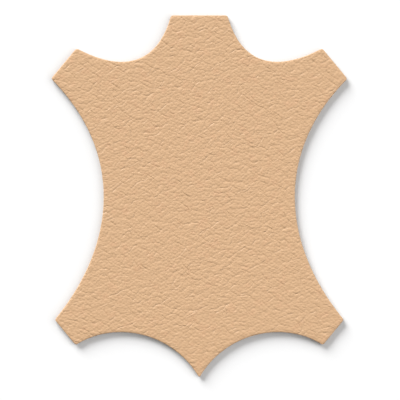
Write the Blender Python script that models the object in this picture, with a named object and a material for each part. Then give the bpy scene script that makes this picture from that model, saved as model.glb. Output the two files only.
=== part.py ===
"""A piece of leather cut to the outline of a small hide, lying flat with its grain side up.

It is one die-cut sheet with nothing sewn to it. The underside lies at Z = 0, the neck points to +Y,
the tail to -Y, and the two sides mirror each other across the YZ plane. The origin is at the middle
of the length and width, on the underside.
"""

from collections import namedtuple

import bmesh
import bpy
from mathutils import Vector
from mathutils.geometry import interpolate_bezier

MM = 0.001

# Driving dimensions
THICKNESS = 1.6 * MM
CORNER_ROUND = 0.5 * MM
GRAIN_EDGE_ROUND = 0.3 * MM

# The hollow stretches of the outline on the +X side, from the neck down to the tail, in millimetres
# from the origin. Each is one smooth curve from start to end, drawn towards its two pull points.
# Straight cuts join them: across the neck, and across the end of the fore leg and of the hind leg.
# The two rump hollows meet in the point of the tail.
Hollow = namedtuple("Hollow", "name start start_pull end_pull end")
HOLLOWS = (
    Hollow("shoulder", (7.8, 50.0), (11.5, 36.5), (21.0, 34.0), (34.0, 40.9)),
    Hollow("flank", (41.0, 32.5), (21.0, 12.5), (22.5, -13.0), (40.0, -34.2)),
    Hollow("rump", (34.2, -41.2), (23.0, -34.0), (7.0, -38.0), (0.0, -50.25)),
)
STEPS_PER_HOLLOW = 32

# Steps round each rounded corner, and down the drawn edge of the grain side
CORNER_STEPS = 4
EDGE_STEPS = 3

# Tan, matt
LEATHER_COLOUR = (0.705, 0.456, 0.266, 1.0)
LEATHER_ROUGHNESS = 0.55


def clear_scene():
    """Removes what a new Blender scene starts with."""
    for obj in list(bpy.data.objects):
        bpy.data.objects.remove(obj)


def hollow_points(hollow):
    """The points along one hollow, from start to end, in metres."""
    start, start_pull, end_pull, end = (
        Vector((x, y, 0.0)) * MM
        for x, y in (hollow.start, hollow.start_pull, hollow.end_pull, hollow.end)
    )
    return interpolate_bezier(start, start_pull, end_pull, end, STEPS_PER_HOLLOW + 1)


def add_outline(bm):
    """Adds the flat outline as one face that looks up, with sharp corners, and returns the corners."""
    right_side = []
    corner_numbers = []
    for hollow in HOLLOWS:
        points = hollow_points(hollow)
        corner_numbers.append(len(right_side))
        right_side.extend(points)
        corner_numbers.append(len(right_side) - 1)
    right = [bm.verts.new(point) for point in right_side]

    # The tail's point lies on the middle line, so the left side has every point but that one.
    left = [bm.verts.new((-point.x, point.y, point.z)) for point in right_side[:-1]]
    face = bm.faces.new(left + right[::-1])
    face.normal_update()
    if face.normal.z < 0:
        face.normal_flip()

    tail = corner_numbers[-1]
    return [right[n] for n in corner_numbers] + [left[n] for n in corner_numbers if n != tail]


def round_corners(bm, corners):
    """Rounds the corners of the flat outline, as the bent steel of a cutting die leaves them."""
    bmesh.ops.bevel(
        bm,
        geom=corners,
        offset=CORNER_ROUND,
        offset_type="OFFSET",
        segments=CORNER_STEPS,
        profile=0.5,
        affect="VERTICES",
        clamp_overlap=True,
    )


def thicken(bm):
    """Raises the flat outline to the thickness of the leather, and leaves a closed solid."""
    raised = bmesh.ops.extrude_face_region(bm, geom=bm.faces[:], use_keep_orig=True)
    top = [item for item in raised["geom"] if isinstance(item, bmesh.types.BMVert)]
    bmesh.ops.translate(bm, verts=top, vec=(0.0, 0.0, THICKNESS))
    bmesh.ops.recalc_face_normals(bm, faces=bm.faces[:])


def draw_down_grain_edge(bm):
    """Rounds the edge round the grain side, which the die draws down as it cuts."""
    upper_edges = [edge for edge in bm.edges if all(v.co.z > THICKNESS / 2 for v in edge.verts)]
    bmesh.ops.bevel(
        bm,
        geom=upper_edges,
        offset=GRAIN_EDGE_ROUND,
        offset_type="OFFSET",
        segments=EDGE_STEPS,
        profile=0.5,
        affect="EDGES",
        clamp_overlap=True,
    )


def leather_material():
    """A plain finish in the leather's own colour."""
    material = bpy.data.materials.new("leather")
    material.use_nodes = True
    shader = material.node_tree.nodes["Principled BSDF"]
    shader.inputs["Base Color"].default_value = LEATHER_COLOUR
    shader.inputs["Roughness"].default_value = LEATHER_ROUGHNESS
    shader.inputs["Metallic"].default_value = 0.0
    return material


def make_leather_sheet():
    """The one piece of leather."""
    bm = bmesh.new()
    corners = add_outline(bm)
    round_corners(bm, corners)
    thicken(bm)
    draw_down_grain_edge(bm)
    mesh = bpy.data.meshes.new("leather_sheet")
    bm.to_mesh(mesh)
    bm.free()
    mesh.materials.append(leather_material())
    sheet = bpy.data.objects.new("leather_sheet", mesh)
    bpy.context.scene.collection.objects.link(sheet)
    return sheet


clear_scene()
make_leather_sheet()
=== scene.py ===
from collections import namedtuple
from math import cos, pi, radians, sin

import bmesh
import bpy
import numpy as np
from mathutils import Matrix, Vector
from mathutils.geometry import delaunay_2d_cdt
from mathutils.kdtree import KDTree


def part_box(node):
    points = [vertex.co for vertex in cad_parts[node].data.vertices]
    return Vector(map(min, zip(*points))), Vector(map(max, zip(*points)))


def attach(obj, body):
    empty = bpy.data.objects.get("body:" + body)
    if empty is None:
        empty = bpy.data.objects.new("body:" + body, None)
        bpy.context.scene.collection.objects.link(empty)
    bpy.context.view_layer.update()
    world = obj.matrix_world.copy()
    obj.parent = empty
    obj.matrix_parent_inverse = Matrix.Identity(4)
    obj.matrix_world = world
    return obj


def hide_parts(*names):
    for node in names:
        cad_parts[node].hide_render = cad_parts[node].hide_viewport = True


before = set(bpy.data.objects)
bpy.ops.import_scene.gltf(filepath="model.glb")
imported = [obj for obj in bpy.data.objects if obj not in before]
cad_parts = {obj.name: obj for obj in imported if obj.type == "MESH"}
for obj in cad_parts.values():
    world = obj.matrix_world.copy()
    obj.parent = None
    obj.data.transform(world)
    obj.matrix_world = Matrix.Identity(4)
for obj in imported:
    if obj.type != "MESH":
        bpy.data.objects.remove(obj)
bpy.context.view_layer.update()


# The blank: the outline that a steel die presses through the hide in one stroke. It is read from the
# underside of the CAD sheet, so the leather keeps the solid's own edge and thickness. Shapes are
# worked out in millimetres, and MM turns them into the frame's metres.
MM = 0.001
DIE_STEP = 0.35

# Corners nearer than SAME_POINT are one corner, and a face belongs to the underside where the height
# of its normal is below FACING_DOWN.
SAME_POINT = 0.001
FACING_DOWN = -0.99
cad_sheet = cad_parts["leather_sheet"]
sheet_low, sheet_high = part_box("leather_sheet")
THICKNESS = (sheet_high.z - sheet_low.z) / MM


def die_line(sheet):
    """The points of the cut, anticlockwise round the underside of the CAD sheet and evenly spaced."""
    mesh = bmesh.new()
    mesh.from_mesh(sheet.data)
    bmesh.ops.remove_doubles(mesh, verts=mesh.verts, dist=SAME_POINT * MM)
    neighbours = {}
    for edge in mesh.edges:
        if sum(face.normal.z < FACING_DOWN for face in edge.link_faces) == 1:
            for corner in edge.verts:
                neighbours.setdefault(corner, []).append(edge.other_vert(corner))
    neck = max(neighbours, key=lambda corner: tuple(corner.co.yx))
    walked = [neck, min(neighbours[neck], key=lambda corner: corner.co.x)]
    while walked[-1] is not neck:
        ahead = [corner for corner in neighbours[walked[-1]] if corner is not walked[-2]]
        walked.append(ahead[0])
    corners = np.array([corner.co.xy for corner in walked]) / MM
    mesh.free()

    run = np.concatenate([[0], np.cumsum(np.hypot(*np.diff(corners, axis=0).T))])
    stops = np.linspace(0, run[-1], round(run[-1] / DIE_STEP), endpoint=False)
    return np.column_stack([np.interp(stops, run, corners[:, axis]) for axis in (0, 1)])


def inward(line):
    """The direction square to a closed anticlockwise line at each of its points, towards its inside."""
    along = np.roll(line, -1, axis=0) - np.roll(line, 1, axis=0)
    square = np.column_stack([-along[:, 1], along[:, 0]])
    return square / np.hypot(*square.T)[:, None]


def holds(line, x, y):
    """Whether each point x, y lies inside a closed line."""
    crossings = np.zeros(x.shape, int)
    for (ax, ay), (bx, by) in zip(line, np.roll(line, -1, axis=0)):
        if ay != by:
            beside = (ay <= y) != (by <= y)
            crossings += beside & (x < ax + (y - ay) * (bx - ax) / (by - ay))
    return crossings % 2 == 1


def filled(line, step):
    """A flat net of nearly even triangles inside a closed line, whose own points come first."""
    edge_room = 0.45 * step
    row_gap = step * cos(radians(30))
    across, along = np.ptp(line, axis=0) / 2
    x, y = np.meshgrid(np.arange(-across, across, step), np.arange(-along, along, row_gap))
    x[1::2] += step / 2
    kept = holds(line + inward(line) * edge_room, x, y)
    points = np.concatenate([line, np.column_stack([x[kept], y[kept]])])
    inside_only = 1
    merge_under = 1e-6
    flat, _, triangles, *_ = delaunay_2d_cdt(
        [Vector(point) for point in points], [], [list(range(len(line)))], inside_only, merge_under
    )
    return np.array(flat), np.array(triangles)


cut = die_line(cad_sheet)
into_sheet = inward(cut)


# The grain side: the outer skin of the hide, drummed until the grain breaks into pebbles. They lie
# crosswise to the spine, in rows that bow towards the neck, with long creases between them and small
# domes all over. It is dyed tan and finished matt.
GRAIN_STEP = 0.275
EDGE_ROUND = 0.2
EDGE_FALL = 0.06
EDGE_FALL_WIDTH = 1.2
drum = np.random.default_rng(7)

# The skin's own unevenness: how high its fine and its broad swells stand, and their sizes. The fine
# ones are made of more ripples.
FINE_SWELL = 0.0025
FINE_SWELL_SIZE = 0.7
FINE_RIPPLES = 60
BROAD_SWELL = 0.009
BROAD_SWELL_SIZE = 2.4

# How the rows lie. Away from the spine they fall back towards the tail by ROW_BOW times the distance
# squared. That is whole near the neck, and fades to nothing over BOW_LENGTH about the middle. The rows
# also wander, slowly and quickly.
ROW_BOW = 0.0023
BOW_LENGTH = 60
SLOW_WANDER = 0.7
SLOW_WANDER_SIZE = 30
QUICK_WANDER_ACROSS = 0.09
QUICK_WANDER_ALONG = 0.07
QUICK_WANDER_SIZE = 1.8

# Two families of creases, each side by side along wandering lines, which leave lens-shaped pebbles
# where they cross. Each has its turn from crosswise in degrees, the gap between its creases, how far
# the skin swells up between them, and how deep they are. The skin falls into a crease gently from its
# neck side and steeply from its tail side, as scales overlap.
Family = namedtuple("Family", "name turn apart swell depth")
FAMILIES = (
    Family("rising_creases", 28, 1.85, 0.016, 0.034),
    Family("falling_creases", -32, 1.85, 0.024, 0.050),
)
GENTLE_SIDE = 0.38
STEEP_SIDE = 0.17

# How uneven a family is, counted in its gaps: how far its creases wander and over what size, how far
# each may lie off its even place, and the size of the stretches where they are strong or weak, which
# are drawn out along the creases. Then the middle, the change and the limit of their strength.
CREASE_WANDER = 0.22
CREASE_WANDER_SIZE = 2.4
UNEVEN_GAPS = 0.6
STRETCH_SIZE = 1.2
STRETCH_DRAWN_OUT = 1.8
MIDDLE_STRENGTH = 0.5
STRENGTH_CHANGE = 0.6
TOP_STRENGTH = 1.4

# The pebbles: cells scattered over the lenses, which break them up into rounder shapes. Their length
# and width, how far their centres are scattered, 0 to 1, how wide and deep the creases round them
# are, the least share of that depth, and how high the pebbles crown. MARK_MIX turns the random marks
# of two neighbours into a random depth for the crease between them.
PEBBLE_LENGTH = 2.6
PEBBLE_WIDTH = 1.9
PEBBLE_SCATTER = 0.85
PEBBLE_CREASE_WIDTH = 0.13
PEBBLE_CREASE_DEPTH = 0.014
LEAST_DEPTH = 0.15
PEBBLE_CROWN = 0.029
MARK_MIX = 57.31

# The longest creases, placed to the half millimetre: the two ends of each, and how far its middle rises
# above the straight line between them.
Crease = namedtuple("Crease", "start end rise")
LONG_CREASES = (
    Crease((2.0, 16.5), (8.0, 17.0), 0.0),
    Crease((3.0, 18.5), (7.0, 18.5), 0.0),
    Crease((6.0, 4.5), (12.0, 4.0), -0.5),
    Crease((16.0, 4.0), (24.0, 3.5), -1.0),
    Crease((10.0, 13.0), (12.5, 14.5), 0.0),
    Crease((10.5, 20.0), (14.5, 20.5), 0.5),
    Crease((-18.5, 12.5), (-15.5, 13.5), 0.0),
    Crease((-18.0, 21.0), (-14.0, 22.5), -0.5),
    Crease((-23.0, 14.0), (-20.0, 15.5), 0.0),
    Crease((-17.5, -12.5), (-12.5, -16.0), -0.5),
    Crease((-12.5, -12.5), (-10.0, -14.0), 0.0),
    Crease((-19.0, -22.0), (-15.5, -24.0), 0.5),
    Crease((-6.0, -21.5), (-2.0, -21.5), -0.5),
    Crease((4.0, -10.0), (7.0, -11.5), 0.0),
    Crease((8.5, -22.0), (10.5, -23.5), 0.0),
    Crease((20.0, -5.0), (24.0, -6.0), -0.5),
    Crease((12.5, -14.0), (14.5, -16.0), 0.0),
    Crease((0.5, -13.5), (3.0, -16.0), 0.0),
    Crease((12.0, -11.0), (17.0, -11.0), 0.5),
    Crease((17.5, -14.0), (24.0, -14.0), 0.0),
)
LONG_CREASE_WIDTH = 0.20
LONG_CREASE_DEPTH = 0.04
LONG_CREASE_WANDER = 0.12
LONG_CREASE_WANDER_SIZE = 3.5


def drift(x, y, size, ripples=24):
    """A smooth random wander over the sheet, mostly between -2 and 2, in swells of about this size."""
    slowest = 0.45
    total = np.zeros_like(x)
    for _ in range(ripples):
        heading = drum.uniform(0, 2 * pi)
        beat = 2 * pi * drum.uniform(slowest, 1.0) / size
        total += np.cos(beat * (x * cos(heading) + y * sin(heading)) + drum.uniform(0, 2 * pi))
    return total / np.sqrt(ripples / 2)


def pebble_walls(x, y):
    """How far each point is from the edge of its pebble, and how deep that edge is creased, 0 to 1.
    The pebbles are the cells round centres scattered one to each box of a staggered grid."""
    reach = 2
    u, v = x / PEBBLE_LENGTH, y / PEBBLE_WIDTH
    column, row = np.floor(u).astype(int), np.floor(v).astype(int)
    column_low, row_low = column.min() - reach, row.min() - reach - 1
    shape = (column.max() - column_low + reach + 1, row.max() - row_low + reach + 1)
    offset_u, offset_v = (0.5 + PEBBLE_SCATTER * (drum.random(shape) - 0.5) for _ in range(2))
    mark = drum.random(shape)
    offset_v[1::2] += 0.5

    centres = []
    for right in range(-reach, reach + 1):
        for up in range(-reach - 1, reach + 1):
            box = (column + right - column_low, row + up - row_low)
            centre_u = column + right + offset_u[box]
            centre_v = row + up + offset_v[box]
            centres.append((centre_u, centre_v, (u - centre_u) ** 2 + (v - centre_v) ** 2, mark[box]))
    nearest = np.argmin([square for _, _, square, _ in centres], axis=0)[None]
    own_u, own_v, own_square, own_mark = (
        np.take_along_axis(np.array(values), nearest, axis=0)[0] for values in zip(*centres)
    )

    wall = np.full(x.shape, np.inf)
    depth = np.zeros(x.shape)
    for centre_u, centre_v, square, its_mark in centres:
        gap = np.hypot(centre_u - own_u, centre_v - own_v)
        with np.errstate(divide="ignore", invalid="ignore"):
            distance = np.where(gap > 0, (square - own_square) / (2 * gap), np.inf)
        closer = distance < wall
        wall = np.where(closer, distance, wall)
        depth = np.where(closer, np.mod((own_mark + its_mark) * MARK_MIX, 1.0), depth)
    return wall * PEBBLE_WIDTH, depth


def turned(x, y, degrees):
    """The same points measured along axes turned anticlockwise by this much."""
    turn = radians(degrees)
    return x * cos(turn) + y * sin(turn), y * cos(turn) - x * sin(turn)


def crease_family(x, y, family):
    """Where each point lies among the creases of one family, which have uneven gaps and come and go
    along their length. Gives a count that is whole on each crease, the gap here in millimetres, and
    how strong the creases are here, 0 to TOP_STRENGTH."""
    along, across = turned(x, y, family.turn)
    place = across / family.apart + CREASE_WANDER * drift(x, y, CREASE_WANDER_SIZE * family.apart)
    line = np.floor(place).astype(int)
    first = line.min() - 1
    numbers = np.arange(first, line.max() + 3)
    creases = numbers + drum.uniform(0, UNEVEN_GAPS, len(numbers))
    below = line - first - (place < creases[line - first])
    gap = creases[below + 1] - creases[below]
    count = below + (place - creases[below]) / gap
    change = STRENGTH_CHANGE * drift(along / STRETCH_DRAWN_OUT, across, STRETCH_SIZE * family.apart)
    strength = np.clip(MIDDLE_STRENGTH + change, 0, TOP_STRENGTH)
    return np.column_stack([count, gap * family.apart, strength])


def long_crease(x, y, crease):
    """Depth, 0 to 1, of one of the longest creases, which fades out at both its ends."""
    start, end = Vector(crease.start), Vector(crease.end)
    length = (end - start).length
    way = (end - start) / length
    part = ((x - start.x) * way.x + (y - start.y) * way.y) / length
    above = (y - start.y) * way.x - (x - start.x) * way.y
    middle = np.clip(4 * part * (1 - part), 0, 1)
    away = above - crease.rise * middle
    return np.sqrt(middle) * np.exp(-((away / LONG_CREASE_WIDTH) ** 2))


def grain_relief(x, y):
    """How far the grain stands above its own mean level at each point, how deep in a crease the
    point lies, 0 to 1, and where it lies in each crease family."""
    lie_x = x + SLOW_WANDER * drift(x, y, SLOW_WANDER_SIZE)
    lie_x += QUICK_WANDER_ACROSS * drift(x, y, QUICK_WANDER_SIZE)
    bow = ROW_BOW * x**2 * np.clip(0.5 + y / BOW_LENGTH, 0, 1)
    lie_y = y + bow + SLOW_WANDER * drift(x, y, SLOW_WANDER_SIZE)
    lie_y += QUICK_WANDER_ALONG * drift(x, y, QUICK_WANDER_SIZE)

    relief = FINE_SWELL * drift(x, y, FINE_SWELL_SIZE, FINE_RIPPLES)
    relief += BROAD_SWELL * drift(x, y, BROAD_SWELL_SIZE)
    wall, depth = pebble_walls(lie_x, lie_y)
    pebble_crease = (LEAST_DEPTH + (1 - LEAST_DEPTH) * depth) * np.exp(-wall / PEBBLE_CREASE_WIDTH)
    crown = 1 - np.clip(1 - 2 * wall / PEBBLE_WIDTH, 0, 1) ** 2
    relief += PEBBLE_CROWN * crown - PEBBLE_CREASE_DEPTH * pebble_crease
    creased = PEBBLE_CREASE_DEPTH * pebble_crease
    families = {family.name: crease_family(lie_x, lie_y, family) for family in FAMILIES}
    for family in FAMILIES:
        count, _, strength = families[family.name].T
        relief += family.swell * strength * (1 - (2 * (count % 1) - 1) ** 2)
    wander = LONG_CREASE_WANDER * drift(x, y, LONG_CREASE_WANDER_SIZE)
    for crease in LONG_CREASES:
        this_crease = LONG_CREASE_DEPTH * long_crease(x, y + wander, crease)
        relief -= this_crease
        creased += this_crease
    return relief - relief.mean(), np.clip(creased / LONG_CREASE_DEPTH, 0, 1), families


def edge_fall(inset):
    """How far the grain side has been drawn down at this distance in from the cut."""
    return EDGE_FALL * np.clip(1 - inset / EDGE_FALL_WIDTH, 0, 1) ** 2


def from_cut(places):
    """How far each place is from the cut."""
    tree = KDTree(len(cut))
    for number, (x, y) in enumerate(cut):
        tree.insert((x, y, 0), number)
    tree.balance()
    return np.array([tree.find((x, y, 0))[2] for x, y in places])


grain_flat, grain_faces = filled(cut + into_sheet * EDGE_ROUND, GRAIN_STEP)
relief, creased, families = grain_relief(*grain_flat.T)
relief -= edge_fall(from_cut(grain_flat))
grain_points = np.column_stack([grain_flat, THICKNESS + relief])

# The dye and the matt finish, with shade painted down in the creases. A second colour comes in where its
# pattern passes its FROM value, and takes the place of its SHARE of the first colour at most.
TAN = (0.616, 0.376, 0.196, 1.0)
ROSY_TAN = (0.624, 0.360, 0.188, 1.0)
# The darker tan in the creases is partly dye that pools there and partly painted shade.
CREASE_DYE_AND_SHADE = (0.588, 0.336, 0.168, 1.0)
ROSY_SPOT = 2.4
ROSY_FROM = 0.55
ROSY_TO = 0.70
ROSY_SHARE = 0.6
CREASE_DYE_AND_SHADE_FROM = 0.2
CREASE_DYE_AND_SHADE_SHARE = 0.4
OPEN_ROUGHNESS = 0.58
CREASE_ROUGHNESS = 0.66
GRAIN_GLOSS = 1.0

# The small domes that cover the lenses, in diagonal rows that cross each other: their length and
# width, how high they stand, how round their tops are, and how uneven they are, 0 to 1. ROW_TURN is
# the turn of the rows in degrees before they are drawn out. They waver by less than one dome.
DOME_LENGTH = 0.98
DOME_WIDTH = 0.74
DOME_HEIGHT = 0.108
DOME_FULLNESS = 1.6
DOME_UNEVENNESS = 0.72
ROW_TURN = 45
WAVER_BEAT = 0.7
WAVER_REACH = 0.9


def mottle(material, size, detail=2.0, stretch=(1, 1, 1)):
    """A soft random pattern, 0 to 1, in patches of this size in millimetres, drawn out by stretch."""
    nodes, links = material.node_tree.nodes, material.node_tree.links
    place = nodes.new("ShaderNodeTexCoord")
    drawn_out = nodes.new("ShaderNodeMapping")
    drawn_out.inputs["Scale"].default_value = [1 / (size * MM * part) for part in stretch]
    links.new(place.outputs["Object"], drawn_out.inputs["Vector"])
    noise = nodes.new("ShaderNodeTexNoise")
    noise.inputs["Scale"].default_value = 1.0
    noise.inputs["Detail"].default_value = detail
    links.new(drawn_out.outputs["Vector"], noise.inputs["Vector"])
    return noise.outputs[0]


def spread(material, pattern, low, high, to_low, to_high):
    """The pattern's values from low to high, spread evenly from to_low to to_high."""
    nodes, links = material.node_tree.nodes, material.node_tree.links
    range_node = nodes.new("ShaderNodeMapRange")
    for name, value in (("From Min", low), ("From Max", high), ("To Min", to_low), ("To Max", to_high)):
        range_node.inputs[name].default_value = value
    links.new(pattern, range_node.inputs["Value"])
    return range_node.outputs["Result"]


def dyed(material, amount, colour, deeper):
    """One colour turning into a deeper one by this amount. Each is a fixed colour or another result."""
    nodes, links = material.node_tree.nodes, material.node_tree.links
    mix = nodes.new("ShaderNodeMix")
    mix.data_type = "RGBA"
    first, second = (socket for socket in mix.inputs if socket.type == "RGBA")
    for socket, value in ((first, colour), (second, deeper)):
        if isinstance(value, tuple):
            socket.default_value = value
        else:
            links.new(value, socket)
    links.new(amount, mix.inputs["Factor"])
    return next(socket for socket in mix.outputs if socket.type == "RGBA")


def raised(material, pattern, height, over=None):
    """The pattern as a fine relief, with this many millimetres from its low parts to its high parts,
    over a relief made before it."""
    nodes, links = material.node_tree.nodes, material.node_tree.links
    bump = nodes.new("ShaderNodeBump")
    bump.inputs["Strength"].default_value = 1.0
    bump.inputs["Distance"].default_value = height * MM
    links.new(pattern, bump.inputs["Height"])
    if over:
        links.new(over, bump.inputs["Normal"])
    return bump.outputs["Normal"]


def calculated(material, operation, first, second):
    """Two values put together. Each is a fixed number or another result."""
    math = material.node_tree.nodes.new("ShaderNodeMath")
    math.operation = operation
    for socket, value in zip(math.inputs, (first, second)):
        if isinstance(value, (int, float)):
            socket.default_value = value
        else:
            material.node_tree.links.new(value, socket)
    return math.outputs["Value"]


def sharp_creases(material, family):
    """How far up the skin is from the bottom of one family's creases, 0 to 1 at the open skin."""
    nodes, links = material.node_tree.nodes, material.node_tree.links
    among = nodes.new("ShaderNodeAttribute")
    among.attribute_name = family.name
    split = nodes.new("ShaderNodeSeparateXYZ")
    links.new(among.outputs["Vector"], split.inputs["Vector"])
    above_crease = calculated(material, "FRACT", split.outputs["X"], 0.0)
    below_crease = calculated(material, "SUBTRACT", 1.0, above_crease)
    sides = [
        spread(material, calculated(material, "MULTIPLY", part, split.outputs["Y"]), 0.0, width, 1.0, 0.0)
        for part, width in ((above_crease, GENTLE_SIDE), (below_crease, STEEP_SIDE))
    ]
    groove = calculated(material, "MAXIMUM", *sides)
    depth = calculated(material, "MULTIPLY", groove, split.outputs["Z"])
    return calculated(material, "SUBTRACT", 1.0, depth)


def small_domes(material):
    """How high each place is on the uneven small domes, 1 at their tops."""
    nodes, links = material.node_tree.nodes, material.node_tree.links
    place = nodes.new("ShaderNodeTexCoord")
    scaled = nodes.new("ShaderNodeMapping")
    scaled.vector_type = "TEXTURE"
    scaled.inputs["Scale"].default_value = (DOME_LENGTH * MM, DOME_WIDTH * MM, 1.0)
    links.new(place.outputs["Object"], scaled.inputs["Vector"])
    in_rows = nodes.new("ShaderNodeMapping")
    in_rows.inputs["Rotation"].default_value = (0.0, 0.0, radians(ROW_TURN))
    links.new(scaled.outputs["Vector"], in_rows.inputs["Vector"])
    waver = nodes.new("ShaderNodeTexNoise")
    waver.inputs["Scale"].default_value = WAVER_BEAT
    links.new(in_rows.outputs["Vector"], waver.inputs["Vector"])
    shifted = nodes.new("ShaderNodeVectorMath")
    shifted.operation = "MULTIPLY_ADD"
    shifted.inputs[1].default_value = (WAVER_REACH, WAVER_REACH, 0.0)
    links.new(waver.outputs["Color"], shifted.inputs[0])
    links.new(in_rows.outputs["Vector"], shifted.inputs[2])
    pattern = nodes.new("ShaderNodeTexVoronoi")
    pattern.voronoi_dimensions = "2D"
    pattern.inputs["Scale"].default_value = 1.0
    pattern.inputs["Randomness"].default_value = DOME_UNEVENNESS
    links.new(shifted.outputs["Vector"], pattern.inputs["Vector"])
    fall = calculated(material, "POWER", pattern.outputs["Distance"], DOME_FULLNESS)
    return calculated(material, "SUBTRACT", 1.0, fall)


def grain_finish():
    """Tan dye under a matt finish, rosier in faint spots and a little darker down in the creases, partly
    from pooled dye and partly as painted shade.
    """
    material = bpy.data.materials.new("tan_grain_finish")
    material.use_nodes = True
    nodes, links = material.node_tree.nodes, material.node_tree.links
    shader = nodes["Principled BSDF"]
    crease = nodes.new("ShaderNodeAttribute")
    crease.attribute_name = "crease"
    spots = spread(material, mottle(material, ROSY_SPOT), ROSY_FROM, ROSY_TO, 0.0, ROSY_SHARE)
    dye = dyed(material, spots, TAN, ROSY_TAN)
    # Painted shade, partly pooled dye: the tan darkens down in the creases.
    crease_dye_and_shade = spread(material, crease.outputs["Fac"], CREASE_DYE_AND_SHADE_FROM, 1.0, 0.0, CREASE_DYE_AND_SHADE_SHARE)
    links.new(dyed(material, crease_dye_and_shade, dye, CREASE_DYE_AND_SHADE), shader.inputs["Base Color"])
    matt = spread(material, crease.outputs["Fac"], 0.0, 1.0, OPEN_ROUGHNESS, CREASE_ROUGHNESS)
    links.new(matt, shader.inputs["Roughness"])
    skin = raised(material, small_domes(material), DOME_HEIGHT)
    for family in FAMILIES:
        skin = raised(material, sharp_creases(material, family), family.depth, over=skin)
    links.new(skin, shader.inputs["Normal"])
    shader.inputs["Specular IOR Level"].default_value = GRAIN_GLOSS
    return material


# The cut edge: all the layers of the hide bare at the die's cut, the tight grain layer above and the
# looser fibres below, which stand out unevenly. The die draws the grain side down over it.
EDGE_STEPS = 3
CUT_STEPS = 5
CUT_HEIGHT = THICKNESS - EDGE_ROUND - EDGE_FALL
FIBRE_STAND = 0.03
fibres = np.random.default_rng(11)

# The tight layer begins and is whole at these shares of the thickness. The fibres below it lie in
# streaks along the cut, some of them dark. STREAK_HEIGHT is a share of STREAK_LENGTH.
TIGHT_LAYER = (0.20, 0.130, 0.082, 1.0)
LOOSE_LAYER = (0.31, 0.220, 0.150, 1.0)
TIGHT_FROM = 0.62
TIGHT_WHOLE = 0.80
STREAK_LENGTH = 0.9
STREAK_HEIGHT = 0.16
STREAK_DETAIL = 5.0
STREAK_FROM = 0.35
STREAK_TO = 0.65
STREAK_SHARE = 0.55
STREAK_RELIEF = 0.10
CUT_ROUGHNESS = 0.9
CUT_GLOSS = 0.2


def edge_rings():
    """The rings of points from the drawn-down grain edge to the underside, from the top down."""
    rim_relief = relief[: len(cut)] + edge_fall(EDGE_ROUND)
    rings = []
    for step in range(1, EDGE_STEPS + 1):
        turn = radians(90 * step / EDGE_STEPS)
        inset = EDGE_ROUND * (1 - sin(turn))
        drop = EDGE_ROUND * (1 - cos(turn))
        height = THICKNESS - drop - edge_fall(inset) + rim_relief * cos(turn)
        rings.append(np.column_stack([cut + into_sheet * inset, height]))
    for step in range(1, CUT_STEPS + 1):
        height = CUT_HEIGHT * (1 - step / CUT_STEPS)
        tufts = fibres.normal(0, 1, len(cut))
        stand = FIBRE_STAND * (tufts + np.roll(tufts, 1) + np.roll(tufts, -1)) / 3
        rings.append(np.column_stack([cut + into_sheet * stand[:, None], np.full(len(cut), height)]))
    return rings


def cut_fibres():
    """Bare fibres, denser and darker near the grain, with streaks along the cut."""
    material = bpy.data.materials.new("cut_fibres")
    material.use_nodes = True
    nodes, links = material.node_tree.nodes, material.node_tree.links
    shader = nodes["Principled BSDF"]
    place = nodes.new("ShaderNodeTexCoord")
    split = nodes.new("ShaderNodeSeparateXYZ")
    links.new(place.outputs["Object"], split.inputs["Vector"])
    tight_from, tight_whole = (share * THICKNESS * MM for share in (TIGHT_FROM, TIGHT_WHOLE))
    grain_layer = spread(material, split.outputs["Z"], tight_from, tight_whole, 0.0, 1.0)
    streaks = mottle(material, STREAK_LENGTH, detail=STREAK_DETAIL, stretch=(1, 1, STREAK_HEIGHT))
    dark_streaks = spread(material, streaks, STREAK_FROM, STREAK_TO, 0.0, STREAK_SHARE)
    streaked = dyed(material, dark_streaks, LOOSE_LAYER, TIGHT_LAYER)
    links.new(dyed(material, grain_layer, streaked, TIGHT_LAYER), shader.inputs["Base Color"])
    links.new(raised(material, streaks, STREAK_RELIEF), shader.inputs["Normal"])
    shader.inputs["Roughness"].default_value = CUT_ROUGHNESS
    shader.inputs["Specular IOR Level"].default_value = CUT_GLOSS
    return material


rings = edge_rings()


# The flesh side: the underside of the hide, split and buffed to a short nap. It lies on the table, so
# the nap's hollows go up into the sheet and its tips touch the table.
FLESH_STEP = 1.2
NAP_DEPTH = 0.03
NAP_SWELL_SIZE = 5
flesh_flat, flesh_faces = filled(cut, FLESH_STEP)
nap = np.abs(drift(*flesh_flat.T, NAP_SWELL_SIZE)) * NAP_DEPTH
nap[: len(cut)] = 0
flesh_points = np.column_stack([flesh_flat, nap])

# The nap's colour, darker in brushed patches, and with shade painted deep between the tufts. The darker
# colour comes in as a pattern goes from its FROM to its TO value, up to its SHARE.
NAP = (0.55, 0.39, 0.25, 1.0)
BRUSHED_AND_SHADED_NAP = (0.45, 0.30, 0.185, 1.0)
PATCH_SIZE = 7.0
PATCH_DETAIL = 3.0
PATCH_FROM = 0.40
PATCH_TO = 0.62
PATCH_SHARE = 0.8
TUFT_SIZE = 0.8
TUFT_DRAWN_OUT = 1.8
TUFT_DETAIL = 6.0
TUFT_RELIEF = 0.16
# The shade painted between the tufts comes in where their relief is low.
DEEP_SHADE_FROM = 0.62
DEEP_SHADE_TO = 0.38
DEEP_SHADE_SHARE = 0.45
NAP_ROUGHNESS = 0.95
NAP_GLOSS = 0.15
NAP_SHEEN = 0.25
SHEEN_ROUGHNESS = 0.5


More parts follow.
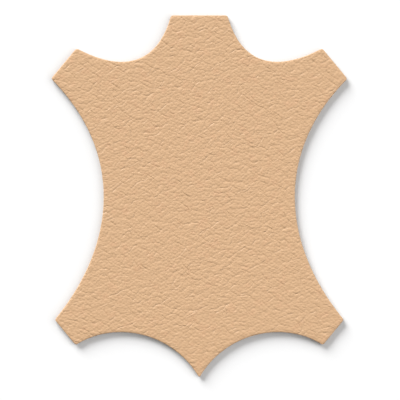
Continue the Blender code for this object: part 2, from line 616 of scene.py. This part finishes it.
def flesh_nap():
    """Buffed fibres like coarse suede, in lighter and darker patches where the nap is brushed over, with
    shade painted between the tufts.
    """
    material = bpy.data.materials.new("flesh_nap")
    material.use_nodes = True
    links = material.node_tree.links
    shader = material.node_tree.nodes["Principled BSDF"]
    patches = mottle(material, PATCH_SIZE, detail=PATCH_DETAIL)
    brushed = spread(material, patches, PATCH_FROM, PATCH_TO, 0.0, PATCH_SHARE)
    tufts = mottle(material, TUFT_SIZE, detail=TUFT_DETAIL, stretch=(1, TUFT_DRAWN_OUT, 1))
    patched = dyed(material, brushed, NAP, BRUSHED_AND_SHADED_NAP)
    # Painted shade: the nap darkens where the tufts' relief is low.
    deep = spread(material, tufts, DEEP_SHADE_FROM, DEEP_SHADE_TO, 0.0, DEEP_SHADE_SHARE)
    links.new(dyed(material, deep, patched, BRUSHED_AND_SHADED_NAP), shader.inputs["Base Color"])
    links.new(raised(material, tufts, TUFT_RELIEF), shader.inputs["Normal"])
    shader.inputs["Roughness"].default_value = NAP_ROUGHNESS
    shader.inputs["Specular IOR Level"].default_value = NAP_GLOSS
    shader.inputs["Sheen Weight"].default_value = NAP_SHEEN
    shader.inputs["Sheen Roughness"].default_value = SHEEN_ROUGHNESS
    return material


# The map: the leather's surfaces laid side by side on a square one unit wide. The grain side fills the
# left of it, the flesh side lies to its right, and the cut edge lies above them in four strips.
MAP_MARGIN = 0.005
GRAIN_MAP_SCALE = 0.0079
FLESH_MAP_SCALE = 0.0039
FLESH_MAP_LEFT = 0.67
STRIPS = 4
STRIP_LENGTH = 0.97
STRIP_FLOOR = 0.83
STRIP_GAP = 0.04

low_corner = cut.min(axis=0) - EDGE_ROUND
grain_map = MAP_MARGIN + (grain_flat - low_corner) * GRAIN_MAP_SCALE


def edge_map(step):
    """The places of one ring of the drawn-down edge, unrolled flat round the grain side."""
    unrolled = EDGE_ROUND * (1 - radians(90 * step / EDGE_STEPS))
    places = MAP_MARGIN + (cut + into_sheet * unrolled - low_corner) * GRAIN_MAP_SCALE
    return places, np.roll(places, -1, axis=0)


def strip_map(step):
    """The places where each stretch of one ring of the cut starts and ends, on its own strip."""
    number = np.arange(len(cut))
    per_strip = -(-len(cut) // STRIPS)
    strip = number // per_strip
    scale = STRIP_LENGTH / per_strip
    height = CUT_HEIGHT * (1 - step / CUT_STEPS) * scale / DIE_STEP
    up = STRIP_FLOOR + strip * STRIP_GAP + height
    start = MAP_MARGIN + (number - strip * per_strip) * scale
    return np.column_stack([start, up]), np.column_stack([start + scale, up])


def flesh_map():
    """The places of the flesh side's points, seen from below."""
    low = flesh_flat.min(axis=0)
    mirrored = np.column_stack([-flesh_flat[:, 0] + low[0], flesh_flat[:, 1] - low[1]])
    mirrored[:, 0] -= mirrored[:, 0].min()
    return (FLESH_MAP_LEFT, MAP_MARGIN) + mirrored * FLESH_MAP_SCALE


# The sheet put together: the grain side, the cut edge and the flesh side as one closed skin, with a
# finish for each. Its shading is smooth except where two faces meet at more than SHARP_TURN degrees.
FINISHES = (grain_finish, cut_fibres, flesh_nap)
GRAIN_SIDE, CUT_EDGE, FLESH_SIDE = range(len(FINISHES))
SHARP_TURN = 70


def band(upper, lower, count):
    """The faces between two rings of points, whose first points have these numbers."""
    return [
        (upper + i, lower + i, lower + (i + 1) % count, upper + (i + 1) % count) for i in range(count)
    ]


def band_map(upper, lower):
    """The places of the corners of each face of a band, from where each ring's stretches start and end."""
    return [corner for face in zip(upper[0], lower[0], lower[1], upper[1]) for corner in face]


def over_edge(values):
    """One value for each point of the sheet: the grain side's own, the same on down over the
    drawn-down edge, and nothing on the cut and the flesh side."""
    below = (len(rings) - 1 - EDGE_STEPS) * len(cut) + len(flesh_points)
    return np.concatenate([values, np.tile(values[: len(cut)], EDGE_STEPS), np.zeros(below)])


def leather_sheet():
    """The whole piece of leather, as one mesh with a finish for each of its surfaces."""
    count = len(cut)
    points = [grain_points]
    faces = [tuple(face) for face in grain_faces]
    finish = [GRAIN_SIDE] * len(faces)
    places = list(grain_map[grain_faces.ravel()])
    upper, total = 0, len(grain_points)
    for number in range(len(rings)):
        last = number == len(rings) - 1
        on_grain = number < EDGE_STEPS
        faces += band(upper, total, count)
        finish += [GRAIN_SIDE if on_grain else CUT_EDGE] * count
        if on_grain:
            places += band_map(edge_map(number), edge_map(number + 1))
        else:
            step = number - EDGE_STEPS
            places += band_map(strip_map(step), strip_map(step + 1))
        if not last:
            points.append(rings[number])
            upper, total = total, total + count
    points.append(flesh_points)
    faces += [tuple(reversed(face + total)) for face in flesh_faces]
    finish += [FLESH_SIDE] * len(flesh_faces)
    places += list(flesh_map()[flesh_faces[:, ::-1].ravel()])

    mesh = bpy.data.meshes.new("leather")
    mesh.from_pydata(np.concatenate(points) * MM, [], faces)
    for make_finish in FINISHES:
        mesh.materials.append(make_finish())
    mesh.polygons.foreach_set("material_index", finish)
    mesh.attributes.new("crease", "FLOAT", "POINT").data.foreach_set("value", over_edge(creased))
    for name, among in families.items():
        vectors = np.column_stack([over_edge(column) for column in among.T])
        mesh.attributes.new(name, "FLOAT_VECTOR", "POINT").data.foreach_set("vector", vectors.ravel())
    mesh.uv_layers.new(name="OFBake").data.foreach_set("uv", np.array(places).ravel())
    mesh.shade_smooth()
    mesh.set_sharp_from_angle(angle=radians(SHARP_TURN))
    return bpy.data.objects.new("leather", mesh)


sheet = leather_sheet()
bpy.context.scene.collection.objects.link(sheet)
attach(sheet, "root")
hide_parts("leather_sheet")


# The table: a plain white matt board, four metres square, that the leather lies on. Its top is a hair
# below the leather, so that the two faces don't share a plane.
TABLE_HALF = 2.0
TABLE_DROP = 0.02 * MM
WHITE_PAINT = (0.9, 0.9, 0.9, 1.0)


def white_board():
    """Plain white paint with no gloss."""
    material = bpy.data.materials.new("white_board")
    material.use_nodes = True
    shader = material.node_tree.nodes["Principled BSDF"]
    shader.inputs["Base Color"].default_value = WHITE_PAINT
    shader.inputs["Roughness"].default_value = 1.0
    shader.inputs["Specular IOR Level"].default_value = 0.0
    return material


table_corners = [
    (x * TABLE_HALF, y * TABLE_HALF, -TABLE_DROP) for x, y in ((-1, -1), (1, -1), (1, 1), (-1, 1))
]
table_mesh = bpy.data.meshes.new("table")
table_mesh.from_pydata(table_corners, [], [(0, 1, 2, 3)])
table_mesh.materials.append(white_board())
table = bpy.data.objects.new("table", table_mesh)
bpy.context.scene.collection.objects.link(table)


# The light: a soft low lamp from the upper left, a broader one from the right that fills in its
# shadows, and a faint glow from the room.
ROOM_GLOW = 0.185

# A lamp has its height over the table, its turn to the left from the top of the picture and its
# spread, all in degrees, and its strength.
Lamp = namedtuple("Lamp", "name height left spread strength")
LAMPS = (
    Lamp("key_lamp", 26, 34, 42, 4.60),
    Lamp("fill_lamp", 38, -90, 80, 1.65),
)

for lamp in LAMPS:
    lamp_data = bpy.data.lights.new(lamp.name, "SUN")
    lamp_data.energy = lamp.strength
    lamp_data.angle = radians(lamp.spread)
    lamp_object = bpy.data.objects.new(lamp.name, lamp_data)
    lamp_object.rotation_euler = (radians(lamp.height - 90), 0, radians(lamp.left))
    bpy.context.scene.collection.objects.link(lamp_object)

room = bpy.data.worlds.new("room")
room.use_nodes = True
room.node_tree.nodes["Background"].inputs["Color"].default_value = (1.0, 1.0, 1.0, 1.0)
room.node_tree.nodes["Background"].inputs["Strength"].default_value = ROOM_GLOW
bpy.context.scene.world = room
bpy.context.scene.view_settings.view_transform = "Standard"


# The camera: looks straight down from over the sheet, a millimetre nearer the tail than its middle,
# and is far enough away for the picture to look flat.
VIEW_WIDTH = 110.63 * MM
VIEW_RIGHT = 0.2 * MM
VIEW_DOWN = 1.07 * MM
LENS = 400
FILM = 36

camera_data = bpy.data.cameras.new("camera")
camera_data.lens = LENS
camera_data.sensor_width = FILM
camera = bpy.data.objects.new("camera", camera_data)
camera.location = (VIEW_RIGHT, -VIEW_DOWN, sheet_high.z + VIEW_WIDTH * LENS / FILM)
bpy.context.scene.collection.objects.link(camera)
bpy.context.scene.camera = camera
